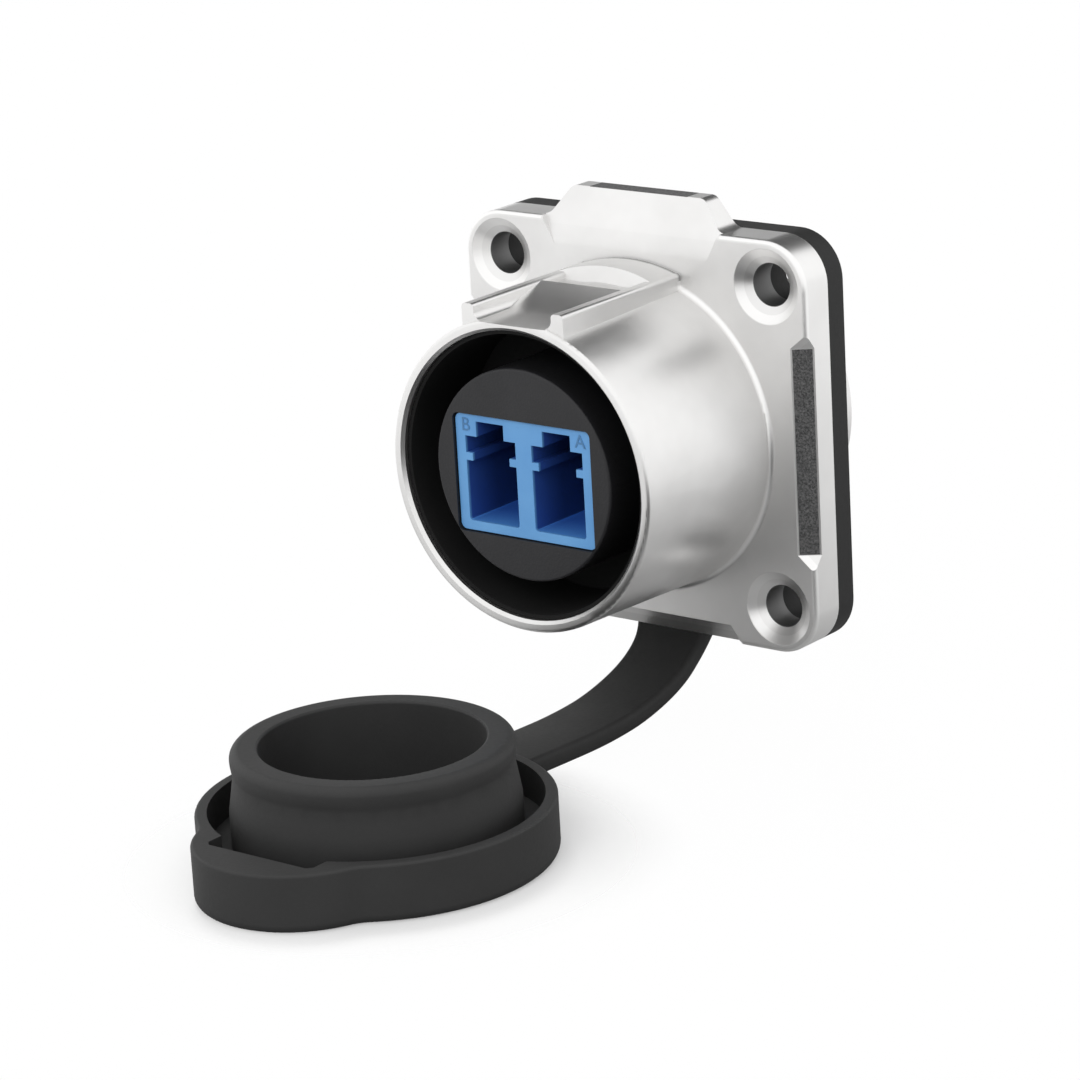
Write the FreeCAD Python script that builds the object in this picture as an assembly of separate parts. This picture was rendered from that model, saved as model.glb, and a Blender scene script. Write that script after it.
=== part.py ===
import FreeCAD, Part
import math
import os

V = FreeCAD.Vector

# Frame: the panel plane is y = 0, the mating side faces -Y, the tab and the latch saddle are up.
# All sizes are millimetres.

# Flange and its gasket
GASKET_T = 2.0
GASKET_BORE_GAP = 0.1
GASKET_NECK_R = 11.1
GASKET_RELIEF = 0.4
FLANGE_W = 32.0
FLANGE_T = 3.0
FLANGE_CORNER_R = 3.6
FLANGE_EDGE_R = 0.4
HOLE_EDGE = 3.5
HOLE_R = 1.65
SINK_R = 2.9
SINK_DEPTH = 0.8

# Name tab on the top edge, left bare
TAB_RISE = 2.3
TAB_TOP_W = 12.4
TAB_BASE_W = 16.0
TAB_TOP_R = 0.9
TAB_BASE_R = 1.2
PAD_FOOT = 2.6
PAD_FOOT_W = 13.8
PAD_SIDE_GAP = 0.3
PAD_LEAN_DEG = 20.0
PAD_BEND_R = 4.5
PAD_BEND_LIFT = 0.02

# Chamfered strips along the other three edges
STRIP_ACROSS = 1.5
STRIP_DEPTH = 1.0
STRIP_HALF_LEN = 8.0
STRIP_RUN_OUT = 1.3

# Front barrel
BARREL_L = 14.8
BARREL_RIM_R = 12.0
BARREL_ROOT_R = 12.4
BARREL_ROOT_FILLET = 0.45
RIM_ROUND = 0.3
BORE_R = 11.1
BORE_LEAD_IN = 0.25
BORE_DEPTH = 9.0

# Latch saddle on top of the barrel
SADDLE_R = 13.45
SADDLE_HALF_W = 4.72
SADDLE_FLOOR_Z = 11.55
RIB_T = 1.1
RIB_TOP_Z = 12.75
RIB_FOOT_R = 0.7
RIB_EDGE_R = 0.3
RIB_SETBACK = 0.3
RAMP_START = 11.0
RIDGE_Y = 6.1
RIDGE_Z = 12.7
BAND_Y = 3.5
POCKET_Z = 12.2

# Web inside the shell and the rear barrel
WEB_T = 2.0
WEB_BORE_R = 8.6
REAR_R = 11.4
REAR_L = 7.8
REAR_BORE_R = 10.0
REAR_CHAMFER = 0.5
GROOVE_Y = 3.9
GROOVE_W = 1.0
GROOVE_R = 10.6

# Insert that carries the adapter
DISC_R = 8.15
DISC_RECESS = 0.5
DISC_EDGE_R = 0.2
INSERT_GAP = 0.15
INSERT_BACK_Y = -1.0
ORING_MINOR_R = 0.62
ORING_GAP = 0.04
ORING_Y = -6.9
ORING_GROOVE_W = 1.7

# Soft lining of the mating groove
LINER_T = 0.3
LINER_FLOOR_T = 1.0
LINER_RECESS = 0.6
LINER_GAP = 0.04

# Duplex adapter with two ports side by side
ADAPTER_W = 12.7
ADAPTER_H = 9.0
ADAPTER_ZC = -0.45
ADAPTER_CORNER_R = 0.5
ADAPTER_RECESS = 0.25
ADAPTER_L = 28.0
ADAPTER_GAP = 0.1
COLLAR_W = 14.0
COLLAR_H = 10.2
COLLAR_T = 1.6
PORT_PITCH = 6.25
PORT_W = 4.75
PORT_H = 4.7
PORT_CORNER_R = 0.25
PORT_FLOOR_T = 0.72
GUIDE_RIB_W = 0.62
GUIDE_RIB_H = 0.6
UPPER_H = 1.3
SLOT_W = 2.6
SLOT_H = 1.2
CATCH_DEPTH = 3.4
CATCH_L = 2.8
CATCH_H = 0.8
MID_WALL_T = 1.5
SLEEVE_TUBE_R = 1.45
SLEEVE_TUBE_L = 2.5
SLEEVE_LIP_L = 0.5
SLEEVE_LIP_R = 0.7
SLEEVE_R = 0.81
SLEEVE_IN_R = 0.625
SLEEVE_L = 6.8
SLEEVE_SLIT = 0.2
SLEEVE_GAP = 0.07

# Retaining ring behind the rear retainer
RING_T = 0.9
RING_R = 10.4
RING_IN_R = 8.9
RING_OPENING = 3.0

# Dust cap, drawn as it sits on the barrel with its groove floor at y = 0 of its own
CAP_FLOOR_T = 1.8
CAP_FLOOR_EDGE_R = 0.7
SKIRT_DEPTH = 2.6
SKIRT_T = 0.9
SKIRT_GAP = 0.15
SKIRT_EDGE_R = 0.25
LOBE_FRONT_T = 3.15
LOBE_R = 7.8
LOBE_NECK_R = 3.0
LOBE_GAP = 0.2
LOBE_POCKET_BEVEL = 0.4
PLUG_H = 7.2
PLUG_OUT_GAP = 0.16
PLUG_IN_GAP = 0.1
PLUG_NECK_IN = 0.45
PLUG_LIP_IN = 0.27
PLUG_LIP_H = 1.9
PLUG_LIP_ROUND = 0.7
PLUG_HOLE_EDGE_R = 0.2

# Where the cap lies when it is off, and the strap that holds it
CAP_REST_Y = -38.1
CAP_REST_Z = -22.0
STRAP_W = 7.0
STRAP_T = 1.5
STRAP_EDGE_R = 0.4
# Root of the strap as (y, z) from the middle of the gasket's lower edge, then its run
# as (share of the way to the skirt, height over the groove floor of the cap)
STRAP_ROOT = [(0.0, 0.8), (-0.05, -0.4), (-1.3, -2.3), (-3.9, -4.0)]
STRAP_RUN = [(0.229, 0.8), (0.453, 0.5), (0.677, 0.6), (1.06, 0.9)]

# Planes and radii that follow from the sizes above
HOLE_PITCH = FLANGE_W - 2 * HOLE_EDGE
FLANGE_BACK = -GASKET_T
FLANGE_FRONT = FLANGE_BACK - FLANGE_T
RIM_Y = FLANGE_FRONT - BARREL_L
WEB_FRONT = RIM_Y + BORE_DEPTH
WEB_BACK = WEB_FRONT + WEB_T
DISC_Y = RIM_Y + DISC_RECESS
ADAPTER_Y = DISC_Y + ADAPTER_RECESS
ADAPTER_MID = ADAPTER_Y + ADAPTER_L / 2
ADAPTER_BACK = ADAPTER_Y + ADAPTER_L
INSERT_R = REAR_BORE_R - INSERT_GAP
SKIRT_IN_R = BARREL_RIM_R + SKIRT_GAP + SKIRT_DEPTH * (BARREL_ROOT_R - BARREL_RIM_R) / BARREL_L
CAP_R = SKIRT_IN_R + SKIRT_T
POCKET_HALF_W = SADDLE_HALF_W + LOBE_GAP
POCKET_WALL = RIB_TOP_Z + LOBE_GAP
LOBE_REACH = POCKET_WALL + LOBE_FRONT_T
PLUG_BASE_R = BORE_R - LINER_GAP - LINER_T - PLUG_OUT_GAP
PLUG_NECK_R = PLUG_BASE_R - PLUG_NECK_IN
PLUG_LIP_R = PLUG_BASE_R - PLUG_LIP_IN
PLUG_HOLE_R = DISC_R + PLUG_IN_GAP


def box(x0, x1, y0, y1, z0, z1):
    return Part.makeBox(x1 - x0, y1 - y0, z1 - z0, V(x0, y0, z0))


def cyl(r, y0, y1, x=0.0, z=0.0):
    return Part.makeCylinder(r, y1 - y0, V(x, y0, z), V(0, 1, 0))


def cone(r0, r1, y0, y1, x=0.0, z=0.0):
    return Part.makeCone(r0, r1, y1 - y0, V(x, y0, z), V(0, 1, 0))


def face_of(points):
    return Part.Face(Part.makePolygon(points + [points[0]]))


def prism_xz(points, y0, y1):
    """Straight prism along Y from (x, z) points."""
    return face_of([V(x, y0, z) for x, z in points]).extrude(V(0, y1 - y0, 0))


def prism_yz(points, x0, x1):
    """Straight prism along X from (y, z) points."""
    return face_of([V(x0, y, z) for y, z in points]).extrude(V(x1 - x0, 0, 0))


def lathe(path):
    """Solid of revolution about the Y axis; (r, y) is a line end, (r, y, rm, ym) an arc by (rm, ym)."""
    edges = []
    last = V(path[0][0], path[0][1], 0)
    for step in path[1:] + [path[0][:2]]:
        end = V(step[0], step[1], 0)
        if len(step) == 4:
            edges.append(Part.Arc(last, V(step[2], step[3], 0), end).toShape())
        elif (end - last).Length > 1e-9:
            edges.append(Part.makeLine(last, end))
        last = end
    return Part.Face(Part.Wire(edges)).revolve(V(0, 0, 0), V(0, 1, 0), 360)


def along_y(shape):
    """Straight edges of a shape that run along Y."""
    found = []
    for edge in shape.Edges:
        if len(edge.Vertexes) == 2:
            d = edge.Vertexes[1].Point - edge.Vertexes[0].Point
            if abs(d.y) > 1e-6 and abs(d.x) < 1e-6 and abs(d.z) < 1e-6:
                found.append(edge)
    return found


def in_plane_y(shape, y):
    """Edges of a shape that lie in one plane across Y."""
    found = []
    for edge in shape.Edges:
        b = edge.BoundBox
        if abs(b.YMin - y) < 1e-5 and abs(b.YMax - y) < 1e-5:
            found.append(edge)
    return found


def near(edges, x, z, reach=0.05):
    """Edges whose middle lies at |x| and z."""
    found = []
    for edge in edges:
        c = edge.CenterOfMass
        if abs(abs(c.x) - x) < reach and abs(c.z - z) < reach:
            found.append(edge)
    return found


def plate(w, h, r, y0, y1, zc=0.0):
    """Rectangular plate across Y with rounded corners."""
    body = box(-w / 2, w / 2, y0, y1, zc - h / 2, zc + h / 2)
    return body.makeFillet(r, along_y(body))


def hole_places():
    p = HOLE_PITCH / 2
    return [(sx * p, sz * p) for sx in (-1, 1) for sz in (-1, 1)]


def flange():
    """Square flange with the bare tab on its top edge."""
    half = FLANGE_W / 2
    tab_z = half + TAB_RISE
    outline = [(-half, -half), (half, -half), (half, half), (TAB_BASE_W / 2, half),
               (TAB_TOP_W / 2, tab_z), (-TAB_TOP_W / 2, tab_z), (-TAB_BASE_W / 2, half), (-half, half)]
    body = prism_xz(outline, FLANGE_FRONT, FLANGE_BACK)
    for x, z, r in ((half, half, FLANGE_CORNER_R), (half, -half, FLANGE_CORNER_R),
                    (TAB_BASE_W / 2, half, TAB_BASE_R), (TAB_TOP_W / 2, tab_z, TAB_TOP_R)):
        body = body.makeFillet(r, near(along_y(body), x, z))
    body = body.makeFillet(FLANGE_EDGE_R, in_plane_y(body, FLANGE_FRONT))
    return body.cut(tab_slope())


def tab_slope():
    """Cutter that leans the front of the tab back in a soft bend between the two upper corner bosses."""
    half = FLANGE_W / 2
    foot = half - PAD_FOOT
    top = half + TAB_RISE + 1.0
    side = TAB_BASE_W / 2 + PAD_SIDE_GAP
    wide = prism_xz([(-PAD_FOOT_W / 2, foot), (PAD_FOOT_W / 2, foot), (side, half),
                     (half, top), (-half, top), (-side, half)], FLANGE_FRONT - 1.0, FLANGE_BACK)
    lean = math.radians(PAD_LEAN_DEG)
    start = V(-half, FLANGE_FRONT - PAD_BEND_LIFT, foot)

    def bend(angle):
        return start + V(0, PAD_BEND_R * (1 - math.cos(angle)), PAD_BEND_R * math.sin(angle))

    bent = bend(lean)
    end = V(-half, bent.y + (top - bent.z) * math.tan(lean), top)
    out = V(-half, FLANGE_FRONT - 1.0, top)
    low = V(-half, FLANGE_FRONT - 1.0, foot)
    edges = [Part.Arc(start, bend(lean / 2), bent).toShape(), Part.makeLine(bent, end),
             Part.makeLine(end, out), Part.makeLine(out, low), Part.makeLine(low, start)]
    return wide.common(Part.Face(Part.Wire(edges)).extrude(V(FLANGE_W, 0, 0)))


def edge_strip():
    """Cutter for one chamfered strip on the +X edge, with pointed run-outs."""
    half = FLANGE_W / 2
    n = V(STRIP_DEPTH, -STRIP_ACROSS, 0)
    n.normalize()
    lift = n * (n.x * STRIP_ACROSS + 0.05)
    a = V(half - STRIP_ACROSS * 1.5, FLANGE_FRONT - STRIP_DEPTH * 0.5, 0)
    b = V(half + STRIP_ACROSS * 0.5, FLANGE_FRONT + STRIP_DEPTH * 1.5, 0)
    c = V(b.x, a.y, 0)
    full = STRIP_HALF_LEN
    ends = full + STRIP_RUN_OUT
    wires = []
    for z, shift in ((-ends, lift), (-full, V(0, 0, 0)), (full, V(0, 0, 0)), (ends, lift)):
        up = V(0, 0, z) + shift
        wires.append(Part.makePolygon([a + up, b + up, c + up, a + up]))
    return Part.makeLoft(wires, True, True)


def barrel():
    """Outside of the front barrel with its root fillet and the rear barrel."""
    q = math.sqrt(0.5)
    e = RIM_ROUND
    f = BARREL_ROOT_FILLET
    front = lathe([(0, RIM_Y), (BARREL_RIM_R - e, RIM_Y),
                   (BARREL_RIM_R, RIM_Y + e, BARREL_RIM_R - e + e * q, RIM_Y + e - e * q),
                   (BARREL_ROOT_R, FLANGE_FRONT - f),
                   (BARREL_ROOT_R + f, FLANGE_FRONT, BARREL_ROOT_R + f - f * q, FLANGE_FRONT - f + f * q),
                   (BARREL_ROOT_R + f, FLANGE_FRONT + 1.0), (0, FLANGE_FRONT + 1.0)])
    c = REAR_CHAMFER
    rear = lathe([(0, FLANGE_BACK - 1.0), (GASKET_NECK_R, FLANGE_BACK - 1.0), (GASKET_NECK_R, 0),
                  (REAR_R, 0), (REAR_R, REAR_L - c), (REAR_R - c, REAR_L), (0, REAR_L)])
    return front.fuse(rear)


def ramp_line():
    """Floor and ramp between the ribs as (y, z), from the rim to the ridge."""
    return [(FLANGE_FRONT - RAMP_START, SADDLE_FLOOR_Z), (FLANGE_FRONT - RIDGE_Y, RIDGE_Z)]


def channel():
    """Cutter over the flat floor and the ramp between the ribs."""
    inner = SADDLE_HALF_W - RIB_T
    over = SADDLE_R + 1
    front = RIM_Y - 1
    foot, ridge = ramp_line()
    return prism_yz([(front, SADDLE_FLOOR_Z), foot, ridge, (ridge[0], over), (front, over)], -inner, inner)


def saddle():
    """Latch saddle: two flat ribs, floor and ramp with a ridge, and the band that ties the ribs."""
    inner = SADDLE_HALF_W - RIB_T
    low = BORE_R - 1.5
    start = RIM_Y + RIB_SETBACK
    end = FLANGE_FRONT + 0.5
    foot, ridge = ramp_line()
    foot_z = SADDLE_FLOOR_Z + RIB_FOOT_R
    parts = []
    for s in (-1, 1):
        rib = box(*sorted((s * inner, s * SADDLE_HALF_W)), start, end, low, RIB_TOP_Z)
        tops = [edge for edge in along_y(rib) if abs(edge.CenterOfMass.z - RIB_TOP_Z) < 1e-6]
        parts.append(rib.makeFillet(RIB_EDGE_R, tops))
        corner = box(*sorted((s * (inner - RIB_FOOT_R), s * inner)), start, ridge[0], low, foot_z)
        parts.append(corner.cut(cyl(RIB_FOOT_R, start - 1, ridge[0] + 1, s * (inner - RIB_FOOT_R), foot_z)))
    wide = inner + RIB_T / 4
    parts.append(box(-wide, wide, start, foot[0] + 0.2, low, SADDLE_FLOOR_Z))
    parts.append(prism_yz([foot, ridge, (ridge[0], low), (foot[0], low)], -wide, wide))
    parts.append(box(-wide, wide, ridge[0] - 0.2, FLANGE_FRONT, low, POCKET_Z))
    band = cyl(SADDLE_R, FLANGE_FRONT - BAND_Y, end)
    reach = SADDLE_HALF_W - RIB_EDGE_R
    parts.append(band.common(box(-reach, reach, start, end, low, SADDLE_R)))
    return parts[0].multiFuse(parts[1:]).removeSplitter()


def shell():
    """Die-cast receptacle shell in one piece."""
    body = flange().fuse(barrel().cut(channel())).fuse(saddle())
    lead = BORE_LEAD_IN
    cuts = [cyl(BORE_R, RIM_Y - 1, WEB_FRONT), cyl(WEB_BORE_R, WEB_FRONT - 1, WEB_BACK + 1),
            cyl(REAR_BORE_R, WEB_BACK, REAR_L + 1), cyl(GROOVE_R, GROOVE_Y, GROOVE_Y + GROOVE_W),
            cone(BORE_R + lead, BORE_R, RIM_Y - 0.01, RIM_Y + lead)]
    for x, z in hole_places():
        cuts.append(cyl(HOLE_R, FLANGE_FRONT - 1, FLANGE_BACK + 1, x, z))
        cuts.append(cone(SINK_R, HOLE_R, FLANGE_FRONT - 0.001, FLANGE_FRONT + SINK_DEPTH, x, z))
    for turn in (0, 90, 180):
        strip = edge_strip()
        strip.rotate(V(0, 0, 0), V(0, 1, 0), turn)
        cuts.append(strip)
    return body.cut(cuts[0].multiFuse(cuts[1:])).removeSplitter()


def panel_gasket():
    """Flat gasket between the flange and the panel."""
    body = plate(FLANGE_W, FLANGE_W, FLANGE_CORNER_R, FLANGE_BACK, 0.0)
    body = body.cut(cyl(GASKET_NECK_R + GASKET_BORE_GAP, FLANGE_BACK - 1, 1.0))
    body = body.cut(cyl(REAR_R + GASKET_BORE_GAP, -GASKET_RELIEF, 1.0))
    for x, z in hole_places():
        body = body.cut(cyl(HOLE_R, FLANGE_BACK - 1, 1.0, x, z))
    return body


def mating_seal():
    """Soft black lining of the groove that the plug enters."""
    out = BORE_R - LINER_GAP
    body = cyl(out, RIM_Y + LINER_RECESS, WEB_FRONT)
    body = body.cut(cyl(out - LINER_T, RIM_Y, WEB_FRONT - LINER_FLOOR_T))
    return body.cut(cyl(DISC_R + LINER_GAP, RIM_Y, WEB_FRONT + 1))


def oring_place():
    """Ring radius and groove floor of the insert's O-ring."""
    ring_r = REAR_BORE_R - ORING_GAP - ORING_MINOR_R
    return ring_r, ring_r - ORING_MINOR_R - ORING_GAP


def insert_core():
    """Black moulding: disc at the mating face, shoulder behind the web, pocket for the adapter."""
    e = DISC_EDGE_R
    q = math.sqrt(0.5)
    body = lathe([(0, DISC_Y), (DISC_R - e, DISC_Y),
                  (DISC_R, DISC_Y + e, DISC_R - e + e * q, DISC_Y + e - e * q),
                  (DISC_R, WEB_BACK), (INSERT_R, WEB_BACK), (INSERT_R, INSERT_BACK_Y), (0, INSERT_BACK_Y)])
    floor = oring_place()[1]
    groove = cyl(INSERT_R + 1, ORING_Y, ORING_Y + ORING_GROOVE_W).cut(cyl(floor, ORING_Y - 1, ORING_Y + 5))
    g = 2 * ADAPTER_GAP
    pocket = plate(ADAPTER_W + g, ADAPTER_H + g, ADAPTER_CORNER_R, DISC_Y - 1, INSERT_BACK_Y + 1, ADAPTER_ZC)
    seat = plate(COLLAR_W + g, COLLAR_H + g, ADAPTER_CORNER_R, ADAPTER_MID, INSERT_BACK_Y + 1, ADAPTER_ZC)
    return body.cut(groove).cut(pocket).cut(seat)


def insert_oring():
    """O-ring against the front wall of its groove."""
    ring_r = oring_place()[0]
    return Part.makeTorus(ring_r, ORING_MINOR_R, V(0, ORING_Y + ORING_MINOR_R, 0), V(0, 1, 0))


def port_levels():
    """Heights of the steps of one port, from its floor up."""
    floor = ADAPTER_ZC - ADAPTER_H / 2 + PORT_FLOOR_T
    rib = floor + PORT_H
    upper = rib + GUIDE_RIB_H
    slot = upper + UPPER_H
    return floor, rib, upper, slot, slot + SLOT_H


def port_axis_z():
    return port_levels()[0] + PORT_H / 2


def port(x, y0, y1):
    """Cavity of one port between two planes across Y, stepped up to the latch slot."""
    floor, rib, upper, slot, top = port_levels()
    w = PORT_W / 2
    lower = box(x - w, x + w, y0, y1, floor, rib)
    low_edges = [e for e in along_y(lower) if abs(e.CenterOfMass.z - floor) < 1e-6]
    lower = lower.makeFillet(PORT_CORNER_R, low_edges)
    neck = w - GUIDE_RIB_W
    return lower.multiFuse([box(x - neck, x + neck, y0, y1, rib - 0.1, upper + 0.1),
                            box(x - w, x + w, y0, y1, upper, slot),
                            box(x - SLOT_W / 2, x + SLOT_W / 2, y0, y1, slot - 0.1, top)])


def port_xs():
    return (-PORT_PITCH / 2, PORT_PITCH / 2)


def catch(x, y0, y1):
    """Recess behind the mouth where the latch of a plug springs out."""
    slot = port_levels()[3]
    return box(x - PORT_W / 2, x + PORT_W / 2, y0, y1, slot - 0.1, slot + CATCH_H)


def adapter_half(mouth, collar):
    """Half of the adapter with its mouth at the given plane; the other end is the middle joint."""
    s = 1 if mouth < ADAPTER_MID else -1
    y0, y1 = sorted((mouth, ADAPTER_MID))
    body = plate(ADAPTER_W, ADAPTER_H, ADAPTER_CORNER_R, y0, y1, ADAPTER_ZC)
    if collar:
        body = body.fuse(plate(COLLAR_W, COLLAR_H, ADAPTER_CORNER_R, ADAPTER_MID,
                               ADAPTER_MID + COLLAR_T, ADAPTER_ZC))
    wall = ADAPTER_MID - s * MID_WALL_T
    tube_end = wall - s * SLEEVE_TUBE_L
    z = port_axis_z()
    for x in port_xs():
        body = body.cut(port(x, *sorted((mouth - s, wall))))
        body = body.cut(catch(x, *sorted((mouth + s * CATCH_DEPTH, mouth + s * (CATCH_DEPTH + CATCH_L)))))
        body = body.fuse(cyl(SLEEVE_TUBE_R, *sorted((tube_end, wall + s * 0.5)), x, z))
        lip = tube_end + s * SLEEVE_LIP_L
        body = body.cut(cyl(SLEEVE_R + SLEEVE_GAP, *sorted((lip, ADAPTER_MID + s)), x, z))
        body = body.cut(cyl(SLEEVE_LIP_R, *sorted((tube_end - s, lip + s)), x, z))
    return body.removeSplitter()


def split_sleeve(x):
    """Slit alignment sleeve resting on the lip of the front tube."""
    y0 = ADAPTER_MID - MID_WALL_T - SLEEVE_TUBE_L + SLEEVE_LIP_L
    z = port_axis_z()
    body = cyl(SLEEVE_R, y0, y0 + SLEEVE_L, x, z).cut(cyl(SLEEVE_IN_R, y0 - 1, y0 + SLEEVE_L + 1, x, z))
    return body.cut(box(x - SLEEVE_SLIT / 2, x + SLEEVE_SLIT / 2, y0 - 1, y0 + SLEEVE_L + 1, z, z + 2))


def rear_retainer():
    """Black plug behind the insert that presses on the adapter collar."""
    g = 2 * ADAPTER_GAP
    body = cyl(INSERT_R, INSERT_BACK_Y, GROOVE_Y)
    body = body.fuse(plate(COLLAR_W - g, COLLAR_H - g, ADAPTER_CORNER_R, ADAPTER_MID + COLLAR_T,
                           INSERT_BACK_Y + 1, ADAPTER_ZC))
    return body.cut(plate(ADAPTER_W + g, ADAPTER_H + g, ADAPTER_CORNER_R, ADAPTER_MID, GROOVE_Y + 1,
                          ADAPTER_ZC))


def retaining_ring():
    """Open spring ring in the groove of the rear bore."""
    body = cyl(RING_R, GROOVE_Y, GROOVE_Y + RING_T).cut(cyl(RING_IN_R, GROOVE_Y - 1, GROOVE_Y + 2))
    half = RING_OPENING / 2
    return body.cut(box(-half, half, GROOVE_Y - 1, GROOVE_Y + 2, -RING_R - 1, 0))


def cap_plan(y0, y1):
    """Round plate with the round lobe that covers the saddle, and a soft hollow where the two meet."""
    f = LOBE_NECK_R
    lobe_z = LOBE_REACH - LOBE_R
    far, close = CAP_R + f, LOBE_R + f
    neck_z = (far ** 2 - close ** 2 + lobe_z ** 2) / (2 * lobe_z)
    neck = V(math.sqrt(far ** 2 - neck_z ** 2), y0, neck_z)
    nose = V(0, y0, lobe_z)
    axis = V(0, y0, 0)
    on_round = axis + (neck - axis) * (CAP_R / far)
    on_lobe = nose + (neck - nose) * (LOBE_R / close)
    inward = (on_round + on_lobe) * 0.5 - neck
    hollow = neck + inward * (f / inward.Length)

    def flip(p):
        return V(-p.x, p.y, p.z)

    edges = [Part.Arc(flip(on_round), V(0, y0, -CAP_R), on_round).toShape(),
             Part.Arc(on_round, hollow, on_lobe).toShape(),
             Part.Arc(on_lobe, V(0, y0, LOBE_REACH), flip(on_lobe)).toShape(),
             Part.Arc(flip(on_lobe), flip(hollow), flip(on_round)).toShape()]
    return Part.Face(Part.Wire(edges)).extrude(V(0, y1 - y0, 0))


def on_barrel_cap():
    """Dust cap as it sits on the barrel: opening to +Y, lobe up."""
    body = cap_plan(-CAP_FLOOR_T, SKIRT_DEPTH)
    body = body.makeFillet(CAP_FLOOR_EDGE_R, in_plane_y(body, -CAP_FLOOR_T))
    body = body.makeFillet(SKIRT_EDGE_R, in_plane_y(body, SKIRT_DEPTH))
    body = body.cut(cyl(SKIRT_IN_R, 0, SKIRT_DEPTH + 1)).cut(saddle_pocket())
    return body.fuse(plug_ring())


def saddle_pocket():
    """Pocket in the lobe for the front of the saddle, with a straight wall and bevelled corners."""
    w, top, b = POCKET_HALF_W, POCKET_WALL, LOBE_POCKET_BEVEL
    low = PLUG_BASE_R / 2
    points = [(-w, low), (w, low), (w, top - b), (w - b, top), (b - w, top), (-w, top - b)]
    return prism_xz(points, 0, SKIRT_DEPTH + 1)


def plug_ring():
    """Ring of the cap that enters the groove round the insert disc, with a soft bead at its lip."""
    t = PLUG_LIP_ROUND
    e = PLUG_HOLE_EDGE_R
    q = math.sqrt(0.5)
    neck = PLUG_H - PLUG_LIP_H
    swell = PLUG_NECK_R + 0.75 * (PLUG_LIP_R - PLUG_NECK_R)
    return lathe([(PLUG_HOLE_R, -0.2), (PLUG_BASE_R, -0.2), (PLUG_BASE_R, SKIRT_DEPTH), (PLUG_NECK_R, neck),
                  (PLUG_LIP_R, PLUG_H - t, swell, (neck + PLUG_H - t) / 2),
                  (PLUG_LIP_R - t, PLUG_H, PLUG_LIP_R - t + t * q, PLUG_H - t + t * q),
                  (PLUG_HOLE_R + e, PLUG_H),
                  (PLUG_HOLE_R, PLUG_H - e, PLUG_HOLE_R + e - e * q, PLUG_H - e + e * q)])


def dust_cap():
    """Cap lying in front of the barrel with its opening up."""
    body = on_barrel_cap()
    body.rotate(V(0, 0, 0), V(1, 0, 0), 90)
    body.translate(V(0, CAP_REST_Y, CAP_REST_Z))
    return body


def strap_path():
    """Middle line of the strap in the plane of symmetry, from the gasket to the cap."""
    y0, z0 = -GASKET_T / 2, -FLANGE_W / 2
    path = [V(0, y0 + y, z0 + z) for y, z in STRAP_ROOT]
    start = path[-1].y
    skirt = CAP_REST_Y + CAP_R
    return path + [V(0, start + (skirt - start) * share, CAP_REST_Z + up) for share, up in STRAP_RUN]


def strap_line(offset):
    """Spline beside the middle line of the strap, and its points."""
    mid = Part.BSplineCurve()
    mid.interpolate(strap_path())
    points = []
    for i in range(25):
        u = mid.FirstParameter + (mid.LastParameter - mid.FirstParameter) * i / 24
        t = mid.tangent(u)[0]
        points.append(mid.value(u) + V(0, -t.z, t.y) * offset)
    side = Part.BSplineCurve()
    side.interpolate(points)
    return side.toShape(), points[0], points[-1]


def cap_strap(gasket, cap):
    """Flat strap between the lower edge of the gasket and the skirt of the cap."""
    upper, u0, u1 = strap_line(-STRAP_T / 2)
    lower, l0, l1 = strap_line(STRAP_T / 2)
    wire = Part.Wire(Part.__sortEdges__([upper, Part.makeLine(u1, l1), lower, Part.makeLine(l0, u0)]))
    body = Part.Face(wire).extrude(V(STRAP_W, 0, 0))
    body.translate(V(-STRAP_W / 2, 0, 0))
    long_edges = [e for e in body.Edges if e.Length > STRAP_W * 2]
    body = body.makeFillet(STRAP_EDGE_R, long_edges)
    half = FLANGE_W / 2
    body = body.cut(box(-half, half, -half, half, -half, half))
    keep_off = cyl(CAP_R, -CAP_FLOOR_T - 1, SKIRT_DEPTH + 1)
    keep_off.rotate(V(0, 0, 0), V(1, 0, 0), 90)
    keep_off.translate(V(0, CAP_REST_Y, CAP_REST_Z))
    return body.cut(keep_off).cut(cap).cut(gasket)


def main():
    os.makedirs("parts", exist_ok=True)
    gasket = panel_gasket()
    cap = dust_cap()
    left_x, right_x = port_xs()
    shapes = {
        "shell": shell(),
        "panel_gasket": gasket,
        "dust_cap": cap,
        "cap_strap": cap_strap(gasket, cap),
        "mating_seal": mating_seal(),
        "insert_core": insert_core(),
        "insert_oring": insert_oring(),
        "adapter_front": adapter_half(ADAPTER_Y, False),
        "adapter_rear": adapter_half(ADAPTER_BACK, True),
        "split_sleeve_a": split_sleeve(right_x),
        "split_sleeve_b": split_sleeve(left_x),
        "rear_retainer": rear_retainer(),
        "retaining_ring": retaining_ring(),
    }
    for name, shape in shapes.items():
        solids = shape.Solids
        if len(solids) != 1 or not solids[0].isValid():
            raise RuntimeError("%s: %d solids, valid %s" % (name, len(solids), shape.isValid()))
        solids[0].exportStep("parts/%s.step" % name)
        b = shape.BoundBox
        print("%-15s vol %9.2f  x %.2f %.2f  y %.2f %.2f  z %.2f %.2f" % (
            name, shape.Volume, b.XMin, b.XMax, b.YMin, b.YMax, b.ZMin, b.ZMax))


main()
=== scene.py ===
import math

import bmesh
import bpy
from bpy.props import FloatProperty, FloatVectorProperty, IntProperty, PointerProperty
from mathutils import Matrix, Vector


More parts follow.
